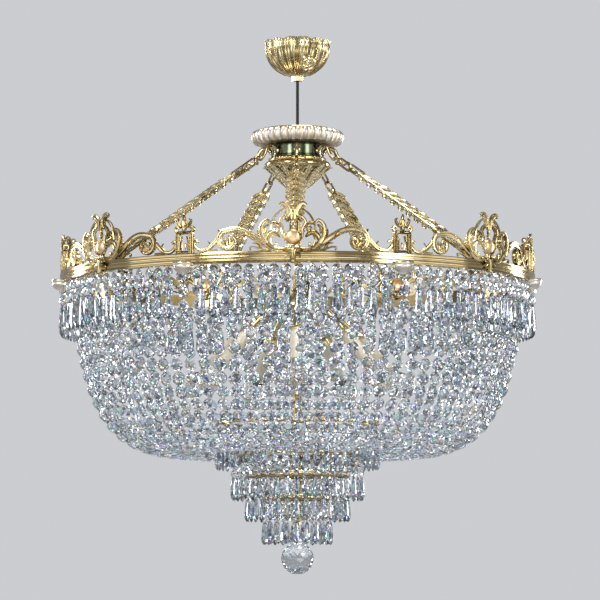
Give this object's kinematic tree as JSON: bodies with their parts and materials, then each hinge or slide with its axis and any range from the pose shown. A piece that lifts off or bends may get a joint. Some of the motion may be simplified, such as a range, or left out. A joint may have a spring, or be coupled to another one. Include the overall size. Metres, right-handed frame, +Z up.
{
  "type": "basket chandelier",
  "caption": "Crystal basket chandelier: scrolled gold gallery ring on leaf arms, net of strung octagons, tiers of drops and a faceted ball, hung from a canopy.",
  "frame": {"origin": "middle of the bracket's face that lies on the ceiling, on the axis that everything hangs from", "axes": "+Z up into the ceiling; -Y is the front, the side that the picture shows; +X is to the right of it"},
  "size_m": [0.6362, 0.6431, 0.7064],
  "materials": {
    "gold": "polished yellow gold plate",
    "gold_cast": "cast and gold plated, darker in the hollows",
    "crystal": "cut and polished lead crystal",
    "crystal_ball": "faceted lead crystal ball",
    "bulb_glass": "clear lamp glass",
    "candle": "cream candle sleeve",
    "cable": "black flexible cable",
    "steel": "plain zinc plated steel"
  },
  "bodies": {
    "ceiling": {"ceiling_bracket": "steel", "ceiling_eye": "steel"},
    "hanger": {"hanger_link": "steel"},
    "canopy": {"canopy_cup": "gold_cast", "canopy_nut": "gold", "canopy_screw": "gold"},
    "chandelier": {"cable_eye": "steel", "suspension_cable": "cable", "hub_top_plate": "gold", "hub_drum": "gold", "hub_moulding": "gold", "hub_knob": "gold", "central_tube": "gold", "arm_hooks": "gold", "arm_links": "gold", "main_ring": "gold", "pilaster_cups": "gold", "lamp_body": "gold", "lamp_arms": "gold", "lamp_holders": "gold", "tier_ring_a": "gold", "tier_ring_b": "gold", "tier_ring_c": "gold", "tier_ring_d": "gold", "bottom_nut": "gold", "hub_gadroon_ring": "gold_cast", "hub_leaf_cone": "gold_cast", "arm_leaf_straps": "gold_cast", "crown_ornaments": "gold_cast", "crown_scrolls": "gold_cast", "crown_pilasters": "gold_cast", "candle_sleeves": "candle", "trim_drops": "crystal", "tier_drops_a": "crystal", "tier_drops_b": "crystal", "tier_drops_c": "crystal", "tier_drops_d": "crystal", "net_upper_1": "crystal", "net_upper_2": "crystal", "net_upper_3": "crystal", "net_upper_4": "crystal", "net_upper_5": "crystal", "net_upper_6": "crystal", "net_upper_7": "crystal", "net_lower_1": "crystal", "net_lower_2": "crystal", "net_lower_3": "crystal", "net_lower_4": "crystal", "net_lower_5": "crystal", "net_lower_6": "crystal", "net_lower_7": "crystal"},
    "bulb_1": {"bulb_1": "bulb_glass"},
    "bulb_2": {"bulb_2": "bulb_glass"},
    "bulb_3": {"bulb_3": "bulb_glass"},
    "bulb_4": {"bulb_4": "bulb_glass"},
    "bulb_5": {"bulb_5": "bulb_glass"},
    "bulb_6": {"bulb_6": "bulb_glass"},
    "bulb_7": {"bulb_7": "bulb_glass"},
    "ball_hanger": {"ball_hanger": "gold"},
    "ball": {"crystal_ball": "crystal_ball"}
  },
  "joints": [
    {"name": "swing_front", "type": "hinge", "parent": "ceiling", "child": "hanger", "pos_m": [0, 0, -0.01135], "axis": [1, 0, 0], "range_deg": [-3, 3]},
    {"name": "swing_side", "type": "hinge", "parent": "hanger", "child": "chandelier", "pos_m": [0, 0, -0.03005], "axis": [0, 1, 0], "range_deg": [-3, 3]},
    {"name": "canopy_slide", "type": "slide", "parent": "chandelier", "child": "canopy", "axis": [0, 0, -1], "range_m": [0, 0.04]},
    {"name": "ball_swing_front", "type": "hinge", "parent": "chandelier", "child": "ball_hanger", "pos_m": [0, 0, -0.64305], "axis": [1, 0, 0], "range_deg": [-20, 20]},
    {"name": "ball_swing_side", "type": "hinge", "parent": "ball_hanger", "child": "ball", "pos_m": [0, 0, -0.66025], "axis": [0, 1, 0], "range_deg": [-20, 20]},
    {"name": "bulb_1_unscrew", "type": "slide", "parent": "chandelier", "child": "bulb_1", "axis": [-0.0121, -0.6946, -0.7193], "range_m": [0, 0.022]},
    {"name": "bulb_2_unscrew", "type": "slide", "parent": "chandelier", "child": "bulb_2", "axis": [0.5355, -0.4425, -0.7193], "range_m": [0, 0.022]},
    {"name": "bulb_3_unscrew", "type": "slide", "parent": "chandelier", "child": "bulb_3", "axis": [0.6798, 0.1427, -0.7193], "range_m": [0, 0.022]},
    {"name": "bulb_4_unscrew", "type": "slide", "parent": "chandelier", "child": "bulb_4", "axis": [0.3123, 0.6205, -0.7193], "range_m": [0, 0.022]},
    {"name": "bulb_5_unscrew", "type": "slide", "parent": "chandelier", "child": "bulb_5", "axis": [-0.2904, 0.631, -0.7193], "range_m": [0, 0.022]},
    {"name": "bulb_6_unscrew", "type": "slide", "parent": "chandelier", "child": "bulb_6", "axis": [-0.6744, 0.1664, -0.7193], "range_m": [0, 0.022]},
    {"name": "bulb_7_unscrew", "type": "slide", "parent": "chandelier", "child": "bulb_7", "axis": [-0.5506, -0.4236, -0.7193], "range_m": [0, 0.022]}
  ]
}
